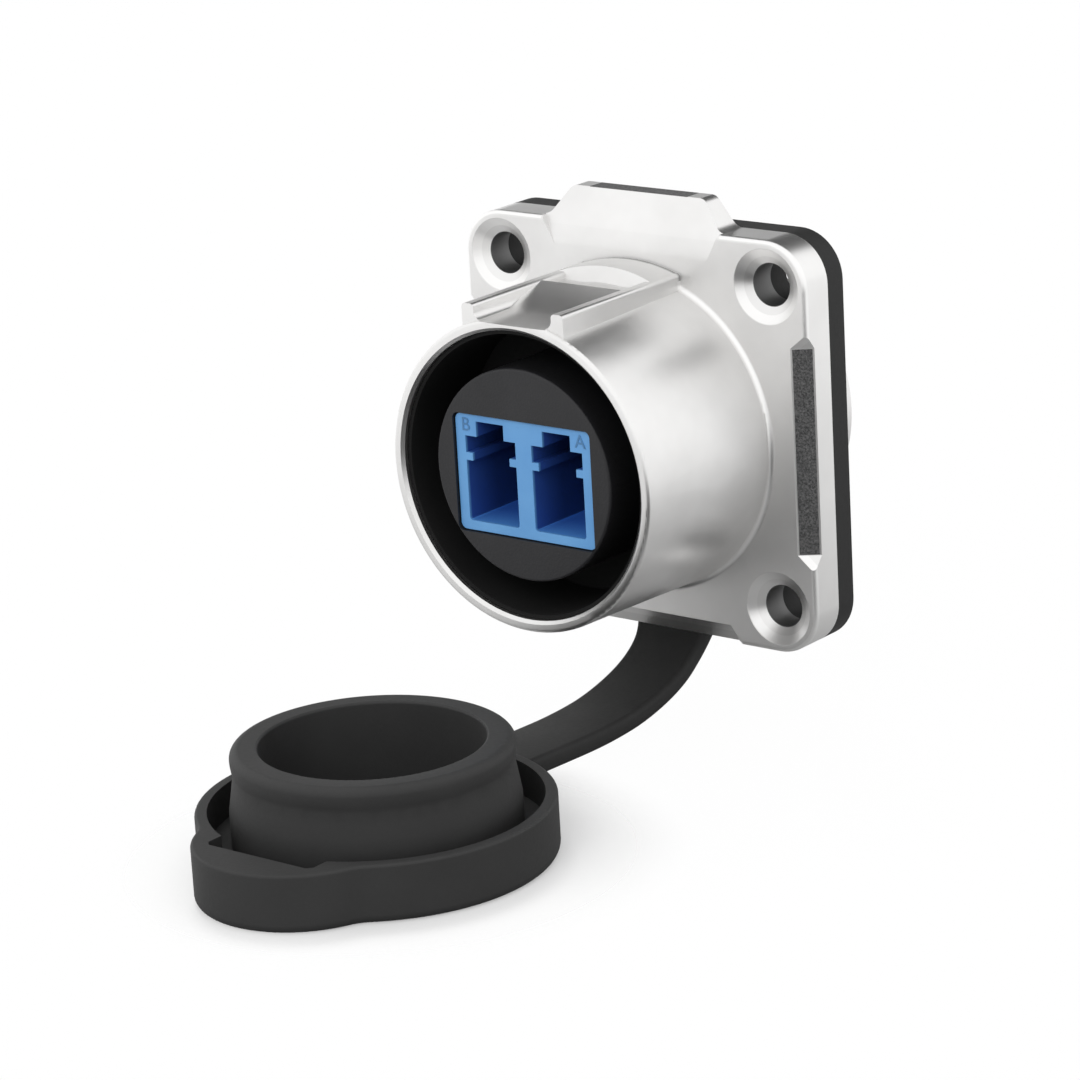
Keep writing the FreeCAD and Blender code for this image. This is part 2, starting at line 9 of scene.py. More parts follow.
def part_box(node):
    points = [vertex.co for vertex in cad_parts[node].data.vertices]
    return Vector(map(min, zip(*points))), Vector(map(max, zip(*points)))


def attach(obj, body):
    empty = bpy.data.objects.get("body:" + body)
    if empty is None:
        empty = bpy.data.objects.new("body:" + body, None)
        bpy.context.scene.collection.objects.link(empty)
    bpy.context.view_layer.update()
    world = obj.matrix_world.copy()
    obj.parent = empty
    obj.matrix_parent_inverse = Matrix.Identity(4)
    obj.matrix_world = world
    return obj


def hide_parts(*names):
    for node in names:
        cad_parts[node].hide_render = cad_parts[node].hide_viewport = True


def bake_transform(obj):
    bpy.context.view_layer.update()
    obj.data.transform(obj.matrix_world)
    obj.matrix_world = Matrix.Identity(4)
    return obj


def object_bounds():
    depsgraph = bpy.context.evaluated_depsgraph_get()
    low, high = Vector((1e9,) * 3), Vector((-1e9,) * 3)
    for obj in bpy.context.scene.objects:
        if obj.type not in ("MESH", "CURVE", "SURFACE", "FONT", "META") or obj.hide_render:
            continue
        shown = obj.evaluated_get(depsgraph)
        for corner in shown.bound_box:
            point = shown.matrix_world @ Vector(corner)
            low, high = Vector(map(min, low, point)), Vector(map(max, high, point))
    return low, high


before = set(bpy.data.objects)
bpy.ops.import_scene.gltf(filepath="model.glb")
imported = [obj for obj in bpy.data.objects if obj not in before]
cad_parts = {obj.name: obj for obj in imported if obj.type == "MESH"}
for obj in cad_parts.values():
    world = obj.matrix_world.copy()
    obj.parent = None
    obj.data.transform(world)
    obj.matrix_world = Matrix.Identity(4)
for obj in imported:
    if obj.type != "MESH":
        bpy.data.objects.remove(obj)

bl_info = {
    "name": "Fibre connector finish",
    "version": (1, 0, 0),
    "blender": (4, 5, 0),
    "location": "3D View > Sidebar > Connector",
    "description": "Plating, rubber, plastics, strap and studio for a panel fibre connector",
    "category": "Object",
}

CAD_BOX = [list(corner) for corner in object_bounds()]
MM = 0.001
CREASE = math.radians(28.0)
WHITE = (1.0, 1.0, 1.0, 1.0)
BLACK = (0.0, 0.0, 0.0, 1.0)

# Distances below which vertices are one, or lie on the band's front wall
MERGE = 0.001 * MM
ON_WALL = 0.01 * MM

# Margins of the finish masks, on a face and beside an edge
ON_FACE = 0.03 * MM
BESIDE = 0.02 * MM

# Scales of the patterns in the finishes, in waves for each metre
CAST, GRAIN, SPECKS = 160.0, 2400.0, 6500.0
CLOUD, SKIN, DUST = 160.0, 3400.0, 1500.0
FLOW, SPARK = 220.0, 5200.0
GLAZE, DRAWN = 900.0, 900.0

# Mean values of a noise and of a cell pattern
NOISE_MEAN, CELL_MEAN = 0.5, 0.4

# Middle line of the strap in millimetres, as (y, z) in the plane of symmetry
STRAP_ROUTE = [(-1.0, -15.7), (-1.05, -16.4), (-2.3, -18.3), (-4.9, -20.0),
               (-9.5, -21.2), (-14.0, -21.5), (-18.5, -21.4), (-25.5, -21.1)]


def length(name, text, default_mm, low=0.0, high=500.0):
    """A length property that is written in millimetres."""
    return FloatProperty(name=name, description=text, default=default_mm * MM, min=low * MM,
                         max=high * MM, precision=5, unit="LENGTH")


def colour(name, text, default):
    return FloatVectorProperty(name=name, description=text, default=default, size=3, min=0.0, max=1.0,
                               subtype="COLOR")


def factor(name, text, default, high=1.0):
    return FloatProperty(name=name, description=text, default=default, min=0.0, max=high, subtype="FACTOR")


def spot(name, text, *place_mm):
    """A place that is written in millimetres."""
    default = tuple(v * MM for v in place_mm)
    return FloatVectorProperty(name=name, description=text, size=len(place_mm), default=default,
                               subtype="TRANSLATION", unit="LENGTH")


def angle(name, text, degrees):
    """An angle property that is written in degrees."""
    return FloatProperty(name=name, description=text, default=math.radians(degrees), subtype="ANGLE")


def watts(name, text, default):
    return FloatProperty(name=name, description=text, default=default, min=0.0, max=50.0, unit="POWER")


class PlatingSettings(bpy.types.PropertyGroup):
    front: length("Flange front", "Place of the flange's front face on the barrel axis", -5.0, low=-500.0)
    nickel: colour("Nickel", "Colour of the plated shell", (0.86, 0.855, 0.847))
    dull: colour("Dull nickel", "Colour where the plating is thinner", (0.79, 0.785, 0.777))
    roughness: factor("Roughness", "Blur of reflections in the plating of barrel and saddle", 0.33)
    flange_roughness: factor("Flange roughness", "Blur of reflections in the plating of the flange", 0.49)
    root_roughness: factor("Root roughness", "Extra blur at the barrel's root, which polishing misses",
                           0.17)
    root_length: length("Root length", "How far from the flange that blur reaches", 9.0)
    # Painted highlight: a lighter colour on the rounded edges of the flange
    edge_highlight: colour("Worn edge", "Colour of the rounded edges of the flange, which handling polishes",
                 (0.92, 0.915, 0.907))
    edge_r: length("Edge radius", "Radius of those rounded edges", 0.42)
    tab_foot: length("Tab foot", "Height at which the tab's slope leaves the flange", 13.3)
    tab_half: length("Tab half width", "Half width of the tab with its slope", 8.4)
    # Painted shade inside the four screw holes
    bore_shade: colour("Bores", "Colour inside the four screw holes", (0.24, 0.24, 0.24))
    # Painted shade: a dark line in the corner behind the saddle's band
    corner: colour("Corner", "Colour of the polish left in the corner behind the saddle's band",
                   (0.20, 0.20, 0.20))
    corner_shade_width: length("Corner width", "Width of the line of polish in that corner", 0.45)
    hole_edge: length("Hole edge", "From the flange side to a hole's axis", 3.5)
    hole_r: length("Hole radius", "Radius of the four screw holes", 1.65)
    strip_dark: colour("Blasted dark", "Dark grain of the blasted edge strips", (0.035, 0.035, 0.036))
    strip_light: colour("Blasted light", "Light specks of the blasted edge strips", (0.16, 0.16, 0.16))
    strip_across: length("Strip across", "Width of an edge strip on the flange face", 1.5)
    strip_depth: length("Strip depth", "Depth of an edge strip on the flange side", 1.0)
    strip_half: length("Strip half length", "Half length of the blasted part of a strip", 7.95)
    strip_margin: length("Strip margin", "Bright line left along each side of a strip", 0.12)
    top_half: length("Top strip half length", "Half length of the blasted strip on top of the tab", 4.6)
    band_front: length("Band front", "From the panel to the front wall of the saddle's band", 8.5)
    band_foot: length("Band foot", "Height of the foot of that wall above the barrel axis", 12.2)
    band_half: length("Band half width", "Half width of the band between the flanks of its ribs", 4.9)
    band_lean: angle("Band lean", "How far that wall leans back", 25.0)
    uneven: factor("Uneven", "How much the casting varies the roughness", 0.06)
    grainy: factor("Grainy", "How much the fine grain varies the roughness", 0.08)
    strip_rough: factor("Blasted roughness", "Roughness of the blasted strips", 0.62)
    strip_loss: factor("Blasted loss", "How much of the metallic look blasting takes", 0.75)
    bore_rough: factor("Bore roughness", "Extra roughness inside the screw holes", 0.2)
    relief: length("Relief", "Depth that the relief of the surface is given in", 0.02)
    cast_relief: factor("Cast relief", "Share of the casting in that relief", 0.06)
    grain_relief: factor("Grain relief", "Share of the fine grain in that relief", 0.10)
    speck_relief: factor("Speck relief", "Share of the blasted specks in that relief", 2.4, 5.0)


class RubberSettings(bpy.types.PropertyGroup):
    tone: colour("Rubber", "Colour of the cap", (0.0295, 0.0295, 0.0295))
    bloom: colour("Bloom", "Paler bloom on the cap", (0.0405, 0.0405, 0.0405))
    # The strap's colour is darker than the cap's
    strap: colour("Strap", "Colour of the strap, which is handled less", (0.0205, 0.0205, 0.0205))
    # Painted shade: the gasket gets a darker colour than the cap's rubber
    gasket: colour("Gasket", "Colour of the panel gasket", (0.012, 0.012, 0.012))
    seal: colour("Seal", "Colour of the soft lining in the groove", (0.012, 0.012, 0.012))
    roughness: factor("Roughness", "Roughness of the moulded rubber", 0.62)
    shine: factor("Shine", "Strength of reflections in the moulded rubber", 0.35)
    seal_roughness: factor("Seal roughness", "Roughness of the soft lining and the ring", 0.75)
    seal_shine: factor("Seal shine", "Strength of reflections in the soft lining and the ring", 0.12)
    pale: factor("Pale", "How much paler the bloom on gasket and seals is than their colour", 1.6, 3.0)
    strap_pale: factor("Strap pale", "How much paler the bloom on the strap is than its colour", 1.35, 3.0)
    cloudy: factor("Cloudy", "Share of soft clouds in the bloom", 0.6)
    dusty: factor("Dusty", "Share of dust in the bloom", 0.25)
    uneven: factor("Uneven", "How much the clouds vary the roughness", 0.16)
    grainy: factor("Grainy", "How much the skin varies the roughness", 0.10)
    relief: length("Relief", "Depth of the skin of the rubber", 0.015)


class PlasticSettings(bpy.types.PropertyGroup):
    insert: colour("Insert", "Colour of the black insert and retainer", (0.0138, 0.0138, 0.0160))
    insert_shade: factor("Insert shade", "Share of that colour in the deeper tone of the moulding", 0.85)
    insert_rough: factor("Insert roughness", "Roughness of the insert and retainer", 0.52)
    insert_grain: length("Insert grain", "Depth of the grain on the insert and retainer", 0.02)
    # Painted shade: the insert is darker inside the groove
    groove_shade: colour("Groove side", "Colour of the insert inside the groove", (0.010, 0.010, 0.011))
    groove_start: length("Groove start", "Depth behind the disc where the groove's colour begins", 0.2)
    groove_full: length("Groove full", "Depth behind the disc where the groove's colour is full", 0.8)
    adapter: colour("Adapter", "Colour of the blue adapter", (0.150, 0.402, 0.770))
    adapter_deep: colour("Adapter shade", "Deeper tone in the blue moulding", (0.120, 0.348, 0.715))
    adapter_rough: factor("Adapter roughness", "Roughness of the blue moulding", 0.36)
    adapter_grain: length("Adapter grain", "Depth of the grain on the blue moulding", 0.008)
    letter_shade: factor("Letter shade", "Share of the adapter's colour in the port letters", 0.60)
    letter_rough: factor("Letter roughness", "Roughness of the port letters", 0.45)
    # Painted light and shade in the ports: colours darken with depth, and a port's floor is painted lighter
    # than its walls
    port: colour("Port", "Colour of the blue moulding just inside a port", (0.028, 0.083, 0.350))
    port_shade: colour("Port end", "Colour of the blue moulding deep in a port", (0.014, 0.040, 0.170))
    port_sill_lit: colour("Port sill", "Colour of the floor of a port at its mouth", (0.080, 0.270, 0.700))
    port_floor_lit: colour("Port floor", "Colour of the floor of a port further in", (0.038, 0.150, 0.620))
    port_start: length("Port start", "Depth at which the face's colour begins to give way", 0.05)
    port_lip: length("Port lip", "Depth at which the face's colour has given way to the port's", 0.3)
    port_depth: length("Port depth", "Depth at which a port has its deepest colour", 3.5)
    floor_top: length("Floor top", "Height up to which a port's floor reaches", -4.15, low=-500.0)
    uneven: factor("Uneven", "How much the flow of a moulding varies its roughness", 0.14)
    grainy: factor("Grainy", "How much the grain of a moulding varies its roughness", 0.06)
    ceramic: colour("Sleeve", "Colour of the alignment sleeves", (0.82, 0.80, 0.74))
    ceramic_shade: factor("Sleeve shade", "Share of that colour in the sleeves' deeper tone", 0.92)
    ceramic_rough: factor("Sleeve roughness", "Least roughness of the sleeves", 0.16)
    ceramic_uneven: factor("Sleeve uneven", "How much the roughness of the sleeves varies", 0.10)
    steel: colour("Ring steel", "Colour of the spring ring", (0.42, 0.42, 0.43))
    steel_shade: factor("Ring shade", "Share of that colour in the drawn lines", 0.75)
    steel_rough: factor("Ring roughness", "Least roughness of the spring ring", 0.30)
    steel_uneven: factor("Ring uneven", "How much the drawn lines vary the roughness", 0.18)
    steel_stretch: factor("Line stretch", "How much finer the drawn lines are along the axis", 14.0, 100.0)
    steel_relief: length("Line relief", "Depth of the drawn lines", 0.01)


class StrapSettings(bpy.types.PropertyGroup):
    width: length("Width", "Width of the strap", 6.0)
    thickness: length("Thickness", "Thickness of the strap", 1.5)
    rounding: length("Edge rounding", "Radius along the edges of the strap", 0.45)
    meeting: length("Meeting", "Distance before the panel where the two halves meet", 12.0)
    flare: factor("Root flare", "Extra width where the strap leaves the gasket", 0.25)
    flare_length: length("Flare length", "How far along the strap the flare runs out", 4.0)
    stations: IntProperty(name="Stations", description="Sections in each span of the route", default=10,
                          min=2, max=100)


class MarkSettings(bpy.types.PropertyGroup):
    height: length("Height", "Height of the port letters", 1.05)
    type_size: factor("Type size", "Type size for each unit of that height", 1.4, 3.0)
    relief: length("Relief", "How far the port letters stand out", 0.05)
    across: length("Across", "Distance of a letter from the middle plane", 5.38)
    up: length("Up", "Height of the letters above the barrel axis", 3.2)


class StageSettings(bpy.types.PropertyGroup):
    floor: colour("Floor", "Colour of the floor as the background", (0.56, 0.56, 0.56))
    floor_near: colour("Near floor", "Colour of the floor near the part", (0.45, 0.45, 0.45))
    floor_half: length("Floor half size", "Half the side of the floor", 3000.0, high=5000.0)
    floor_gap: length("Floor gap", "Gap that keeps the floor off the cap", 0.02)
    lift: factor("Floor lift", "White that is added to the floor where it is the background", 0.37)
    mirrored: factor("Mirrored", "Share of the white background that the plating shows", 0.06)
    shade_middle: spot("Shade middle", "Middle of the shaded floor", 5.0, -5.0)
    shade_in: length("Shade inside", "Where the plating begins to show the floor as background", 10.0)
    shade_out: length("Shade outside", "Where the plating shows the floor as plain background", 150.0)
    contact_middle: spot("Contact middle", "Middle of the shadow round the cap", 0.0, -38.0)
    contact_edge: length("Contact edge", "Where that shadow is full beside its open middle", 12.5)
    contact_in: length("Contact inside", "Where the cap's shadow begins to fade into the background", 13.0)
    contact_out: length("Contact outside", "Where that shadow has faded", 23.0)
    clear: factor("Clear", "How far the floor outside that shadow gives way to the white background", 0.97)
    card_middle: spot("Card middle", "Middle of a dark card at the front right", 85.0, -90.0)
    card_in: length("Card inside", "Reach of the full dark of that card in the plating", 50.0)
    card_out: length("Card outside", "Where the card's dark has faded", 110.0)
    bright: factor("Bright side", "Brightness of the studio walls in the plating", 1.12, 2.0)
    soft: factor("Soft light", "Brightness of the soft light from all round", 0.78, 2.0)
    dark: factor("Dark side", "Brightness of the dark wall at the back left", 0.0)
    dark_way: FloatVectorProperty(name="Dark way", description="Direction of the dark wall", size=3,
                                  default=(-0.341, 0.672, 0.657), subtype="DIRECTION")
    dark_from: factor("Dark from", "Cosine to that direction where the dark wall begins", 0.85)
    dark_full: factor("Dark full", "Cosine to that direction where the dark wall is full", 0.91)
    key: watts("Key lamp", "Power of the key lamp", 5.0)
    key_place: spot("Key place", "Place of the key lamp", -450.0, 360.0, 1100.0)
    key_size: length("Key size", "Width of the key lamp", 500.0, high=3000.0)
    fill: watts("Fill lamp", "Power of the fill lamp", 3.0)
    fill_place: spot("Fill place", "Place of the fill lamp", 250.0, -850.0, 550.0)
    fill_size: length("Fill size", "Width of the fill lamp", 600.0, high=3000.0)
    lamp_aim: spot("Lamp aim", "Point that both lamps face", 0.0, -15.0, -5.0)
    aim: spot("Aim", "Point in the middle of the picture", -4.74, -11.81, -7.68)
    distance: length("Distance", "From the camera to the aim point", 320.0, high=3000.0)
    nearest: length("Nearest", "Nearest distance that the camera shows", 5.0)
    azimuth: angle("Azimuth", "Turn of the camera to the right", 38.92)
    elevation: angle("Elevation", "Height angle of the camera", 16.79)
    roll: angle("Roll", "Roll of the camera", -3.24)
    lens: FloatProperty(name="Lens", description="Focal length in millimetres", default=139.32, min=10.0,
                        max=500.0)
    sensor: FloatProperty(name="Sensor", description="Width of the picture plane in millimetres",
                          default=36.0, min=1.0, max=100.0)


class ConnectorSettings(bpy.types.PropertyGroup):
    plating: PointerProperty(type=PlatingSettings)
    rubber: PointerProperty(type=RubberSettings)
    plastic: PointerProperty(type=PlasticSettings)
    strap: PointerProperty(type=StrapSettings)
    marks: PointerProperty(type=MarkSettings)
    stage: PointerProperty(type=StageSettings)


class Wire:
    """An output socket that takes part in plain arithmetic."""

    def __init__(self, board, socket):
        self.board = board
        self.socket = socket

    def math(self, operation, *others):
        values = {i: v for i, v in enumerate((self,) + others)}
        return self.board.node("ShaderNodeMath", {"operation": operation}, values)

    def __add__(self, other):
        return self.math("ADD", other)

    __radd__ = __add__

    def __sub__(self, other):
        return self.math("SUBTRACT", other)

    def __rsub__(self, other):
        return self.board.node("ShaderNodeMath", {"operation": "SUBTRACT"}, {0: other, 1: self})

    def __mul__(self, other):
        return self.math("MULTIPLY", other)

    def __lt__(self, other):
        return self.math("LESS_THAN", other)

    def __gt__(self, other):
        return self.math("GREATER_THAN", other)

    def __abs__(self):
        return self.math("ABSOLUTE")

    def limited(self):
        return self.board.node("ShaderNodeClamp", {}, {"Value": self})


class Board:
    """A node tree that is cleared and built up node by node."""

    def __init__(self, tree):
        self.tree = tree
        tree.nodes.clear()

    def node(self, kind, settings, inputs, out=0):
        made = self.tree.nodes.new(kind)
        for key, value in settings.items():
            setattr(made, key, value)
        for key, value in inputs.items():
            if isinstance(value, Wire):
                self.tree.links.new(value.socket, made.inputs[key])
            else:
                made.inputs[key].default_value = value
        return Wire(self, made.outputs[out]) if made.outputs else None

    def place(self):
        return self.node("ShaderNodeTexCoord", {}, {}, "Object")

    def axes(self, vector):
        split = self.node("ShaderNodeSeparateXYZ", {}, {0: vector})
        return [Wire(self, socket) for socket in split.socket.node.outputs]

    def noise(self, place, scale, detail, rough=0.55):
        return self.node("ShaderNodeTexNoise", {},
                         {"Vector": place, "Scale": scale, "Detail": detail, "Roughness": rough})

    def cells(self, place, scale):
        return self.node("ShaderNodeTexVoronoi", {"feature": "F1"}, {"Vector": place, "Scale": scale})

    def blend(self, share, first, second):
        return self.node("ShaderNodeMix", {"data_type": "RGBA"}, {0: share, 6: first, 7: second}, 2)

    def spread(self, value, low, high):
        """Stretches the range between two values to 0 and 1, and holds it there beyond them."""
        return self.node("ShaderNodeMapRange", {}, {"Value": value, "From Min": low, "From Max": high})

    def gentle(self, value, low, high):
        """Like spread, with a soft start and end."""
        return self.node("ShaderNodeMapRange", {"interpolation_type": "SMOOTHSTEP"},
                         {"Value": value, "From Min": low, "From Max": high})

    def mixed(self, share, first, second):
        return self.node("ShaderNodeMixShader", {}, {0: share, 1: first, 2: second})

    def bump(self, height, depth, strength):
        return self.node("ShaderNodeBump", {}, {"Height": height, "Distance": depth, "Strength": strength})

    def surface(self, **sockets):
        named = {key.replace("_", " "): value for key, value in sockets.items()}
        shader = self.node("ShaderNodeBsdfPrincipled", {}, named)
        self.node("ShaderNodeOutputMaterial", {}, {"Surface": shader})


def rgba(tone):
    return tuple(tone) + (1.0,)


def grey(value):
    return rgba((value,) * 3)


def scaled(tone, share):
    return [v * share for v in tone]


def new_board(name):
    material = bpy.data.materials.new(name)
    material.use_nodes = True
    return material, Board(material.node_tree)


def plated_nickel(s):
    """Satin nickel on a die casting, with blasted strips along three edges of the flange."""
    material, b = new_board("plated_nickel")
    place = b.place()
    x, y, z = b.axes(place)
    half, _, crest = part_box("shell")[1]
    front = s.front
    slant = Vector((s.strip_depth, s.strip_across)).normalized()
    reach = slant.x * (half - s.strip_across) - slant.y * front
    out = abs(x)
    off = abs(out * slant.x - y * slant.y - reach)
    inside = (out > half - s.strip_across + s.strip_margin) * (out < half - s.strip_margin)
    side = (off < ON_FACE) * (abs(z) < s.strip_half) * inside
    top = (z > crest - BESIDE) * (out < s.top_half)
    strips = (side + top).limited()
    across, up = out - (half - s.hole_edge), abs(z) - (half - s.hole_edge)
    bores = across * across + up * up < (s.hole_r + BESIDE) ** 2
    depth = abs(y - front)
    slope = (z > s.tab_foot) * (out < s.tab_half)
    # Rounded edges of the flange, apart from the strips and the tab's slope, carry a painted highlight
    rounded = (depth < s.edge_r) * (depth > ON_FACE) * (1.0 - (strips + slope).limited())
    # Painted shade in the corner behind the saddle's band, darkest next to the flange
    behind = b.spread(y, front - s.corner_shade_width, front - ON_FACE) * (y < front - BESIDE)
    corner = behind * (z > s.band_foot) * (out < s.band_half)
    flange = ((depth < ON_FACE) + slope * (depth < s.edge_r)).limited()
    root = b.spread(y, front - s.root_length, front - s.edge_r) * (y < front - s.edge_r)

    cast = b.noise(place, CAST, 3.0)
    grain = b.noise(place, GRAIN, 3.0)
    specks = b.spread(b.noise(place, SPECKS, 2.0, 0.7), 0.36, 0.70)
    tone = b.blend(b.spread(cast, 0.35, 0.75), rgba(s.nickel), rgba(s.dull))
    blasted = b.blend(specks, rgba(s.strip_dark), rgba(s.strip_light))
    # Blasted grain on the strips, painted shade inside the screw holes
    tone = b.blend(bores, b.blend(strips, tone, blasted), rgba(s.bore_shade))
    # Painted highlight along those rounded edges
    tone = b.blend(rounded, tone, rgba(s.edge_highlight))
    # Painted shade in that corner
    tone = b.blend(corner, tone, rgba(s.corner))
    satin = flange * (s.flange_roughness - s.roughness) + root * s.root_roughness + s.roughness
    satin = satin + (cast - NOISE_MEAN) * s.uneven
    rough = satin * (1.0 - strips) + strips * s.strip_rough + bores * s.bore_rough
    rough = rough + (grain - NOISE_MEAN) * s.grainy
    height = cast * (1.0 - strips) * s.cast_relief + grain * s.grain_relief
    height = height + specks * strips * s.speck_relief
    b.surface(Base_Color=tone, Roughness=rough, Metallic=1.0 - strips * s.strip_loss,
              Normal=b.bump(height, s.relief, strength=0.5))
    return material


def moulded_rubber(name, s, tone, bloom, roughness, shine):
    """Matte moulded rubber with a faint bloom and a fine skin."""
    material, b = new_board(name)
    place = b.place()
    cloud = b.noise(place, CLOUD, 4.0)
    skin = b.noise(place, SKIN, 2.0)
    dust = b.spread(b.noise(place, DUST, 5.0, 0.75), 0.60, 0.80)
    share = (b.spread(cloud, 0.3, 0.75) * s.cloudy + dust * s.dusty).limited()
    rough = roughness + (cloud - NOISE_MEAN) * s.uneven + (skin - NOISE_MEAN) * s.grainy
    b.surface(Base_Color=b.blend(share, rgba(tone), rgba(bloom)), Roughness=rough, Specular_IOR_Level=shine,
              Normal=b.bump(skin + cloud * 0.5, s.relief, strength=0.6))
    return material


def moulded_plastic(name, s, tone, shade, roughness, grain_depth, inside=None):
    """Moulded plastic with a fine spark-eroded grain; inside adds painted light and shade by the place in
    the part.
    """
    material, b = new_board(name)
    place = b.place()
    flow = b.noise(place, FLOW, 3.0)
    grain = b.cells(place, SPARK)
    mix = b.blend(b.spread(flow, 0.35, 0.7), rgba(tone), rgba(shade))
    if inside is not None:
        mix = inside(b, place, mix)
    rough = roughness + (flow - NOISE_MEAN) * s.uneven + (grain - CELL_MEAN) * s.grainy
    b.surface(Base_Color=mix, Roughness=rough,
              Normal=b.bump(grain + flow * 0.6, grain_depth, strength=0.5))
    return material


def polished_ceramic(s):
    """Pale polished ceramic with a faint cloud in its tone."""
    material, b = new_board("polished_ceramic")
    cloud = b.noise(b.place(), GLAZE, 3.0)
    shade = scaled(s.ceramic, s.ceramic_shade)
    b.surface(Base_Color=b.blend(b.spread(cloud, 0.35, 0.7), rgba(s.ceramic), rgba(shade)),
              Roughness=s.ceramic_rough + cloud * s.ceramic_uneven)
    return material


def spring_steel(s):
    """Stamped spring steel with drawn lines round the ring."""
    material, b = new_board("spring_steel")
    stretch = (1.0, s.steel_stretch, 1.0)
    lines = b.noise(b.node("ShaderNodeMapping", {}, {"Vector": b.place(), "Scale": stretch}), DRAWN, 3.0)
    b.surface(Base_Color=b.blend(lines, rgba(s.steel), rgba(scaled(s.steel, s.steel_shade))), Metallic=1.0,
              Roughness=s.steel_rough + lines * s.steel_uneven,
              Normal=b.bump(lines, s.steel_relief, strength=0.5))
    return material


def dress(material, *nodes):
    """Gives CAD nodes a finish; their meshes stay as they are."""
    for name in nodes:
        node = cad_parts[name]
        for slot in node.material_slots:
            slot.material = material


def piece_from(bm, name, material):
    mesh = bpy.data.meshes.new(name)
    bm.to_mesh(mesh)
    bm.free()
    mesh.materials.append(material)
    made = bpy.data.objects.new(name, mesh)
    bpy.context.collection.objects.link(made)
    return made


def smooth_copy(node, name, body, material):
    """Merged copy of a CAD node, shaded softly between its sharp edges, that stands for the node."""
    bm = bmesh.new()
    bm.from_mesh(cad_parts[node].data)
    bmesh.ops.remove_doubles(bm, verts=bm.verts, dist=MERGE)
    for face in bm.faces:
        face.smooth = True
    for edge in bm.edges:
        edge.smooth = len(edge.link_faces) == 2 and edge.calc_face_angle() < CREASE
    made = piece_from(bm, name, material)
    weights = made.modifiers.new("even_shading", "WEIGHTED_NORMAL")
    weights.keep_sharp = True
    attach(made, body)
    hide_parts(node)
    return made


def strap_line(points, steps):
    """Places and directions along the smooth spline of the route."""
    route = bpy.data.curves.new("strap_route", "CURVE")
    route.dimensions = "3D"
    spline = route.splines.new("NURBS")
    spline.points.add(len(points) - 1)
    for point, (y, z) in zip(spline.points, points):
        point.co = (0.0, y * MM, z * MM, 1.0)
    spline.order_u = 3
    spline.use_endpoint_u = True
    spline.resolution_u = steps
    draft = bpy.data.objects.new("strap_route", route)
    bpy.context.collection.objects.link(draft)
    bpy.context.view_layer.update()
    graph = bpy.context.evaluated_depsgraph_get()
    mesh = bpy.data.meshes.new_from_object(draft.evaluated_get(graph))
    places = [v.co.copy() for v in mesh.vertices]
    bpy.data.objects.remove(draft)
    bpy.data.meshes.remove(mesh)
    last = len(places) - 1
    ways = [(places[min(i + 1, last)] - places[max(i - 1, 0)]).normalized() for i in range(last + 1)]
    return list(zip(places, ways))


def section_frame(place, way, widen):
    """Placement of a strap section: width along X, thickness across the way."""
    across = Vector((1.0, 0.0, 0.0))
    flat = way.cross(across)
    turn = Matrix((across * widen, flat, way)).transposed().to_4x4()
    return Matrix.Translation(place) @ turn


def strap_half(name, stations, widths, s, material):
    """One half of the strap, drawn out section by section from a rounded rectangle."""
    bm = bmesh.new()
    bmesh.ops.create_grid(bm, x_segments=1, y_segments=1, size=0.5)
    bmesh.ops.scale(bm, vec=(s.width, s.thickness, 1.0), verts=bm.verts)
    bmesh.ops.bevel(bm, geom=bm.verts[:], affect="VERTICES", offset=s.rounding, segments=4, profile=0.5,
                    material=-1)
    last = section_frame(*stations[0], widths[0])
    bmesh.ops.transform(bm, matrix=last, verts=bm.verts)
    front = bm.faces[:]
    for (place, way), widen in list(zip(stations, widths))[1:]:
        drawn = bmesh.ops.extrude_face_region(bm, geom=front)["geom"]
        front = [g for g in drawn if isinstance(g, bmesh.types.BMFace)]
        here = section_frame(place, way, widen)
        bmesh.ops.transform(bm, matrix=here @ last.inverted(),
                            verts=[g for g in drawn if isinstance(g, bmesh.types.BMVert)])
        last = here
    bmesh.ops.recalc_face_normals(bm, faces=bm.faces)
    for face in bm.faces:
        face.smooth = len(face.verts) == 4
        if not face.smooth:
            for edge in face.edges:
                edge.smooth = False
    return piece_from(bm, name, material)


class CONNECTOR_OT_shell(bpy.types.Operator):
    """Plate the die-cast shell and blast its edge strips"""
    bl_idname = "fibre_connector.shell"
    bl_label = "Plate the shell"

    def execute(self, context):
        s = context.scene.fibre_connector.plating
        shell = smooth_copy("shell", "plated_shell", "receptacle", plated_nickel(s))
        self.lean_band(shell.data, s)
        return {"FINISHED"}

    def lean_band(self, mesh, s):
        """Lean the front wall of the saddle's band back from its foot."""
        bm = bmesh.new()
        bm.from_mesh(mesh)
        wall = [v for v in bm.verts if abs(v.co.y + s.band_front) < ON_WALL and v.co.z > s.band_foot]
        if not wall:
            raise RuntimeError("the front wall of the band isn't where it was")
        for v in wall:
            v.co.y += (v.co.z - s.band_foot) * math.tan(s.band_lean)
        bm.to_mesh(mesh)
        bm.free()


class CONNECTOR_OT_rubber(bpy.types.Operator):
    """Give the cap, the gasket and the seals their rubber"""
    bl_idname = "fibre_connector.rubber"
    bl_label = "Finish the rubber"

    def execute(self, context):
        s = context.scene.fibre_connector.rubber
        rubber = moulded_rubber("cap_rubber", s, s.tone, s.bloom, s.roughness, s.shine)
        smooth_copy("dust_cap", "rubber_cap", "cap", rubber)
        # The gasket's darker colour is painted shade
        pale = scaled(s.gasket, s.pale)
        sheet = moulded_rubber("gasket_rubber_shaded", s, s.gasket, pale, s.roughness, s.shine)
        smooth_copy("panel_gasket", "gasket_sheet", "receptacle", sheet)
        pale = scaled(s.seal, s.pale)
        soft = moulded_rubber("seal_rubber", s, s.seal, pale, s.seal_roughness, s.seal_shine)
        smooth_copy("mating_seal", "groove_lining", "receptacle", soft)
        smooth_copy("insert_oring", "insert_seal_ring", "receptacle", soft)
        return {"FINISHED"}


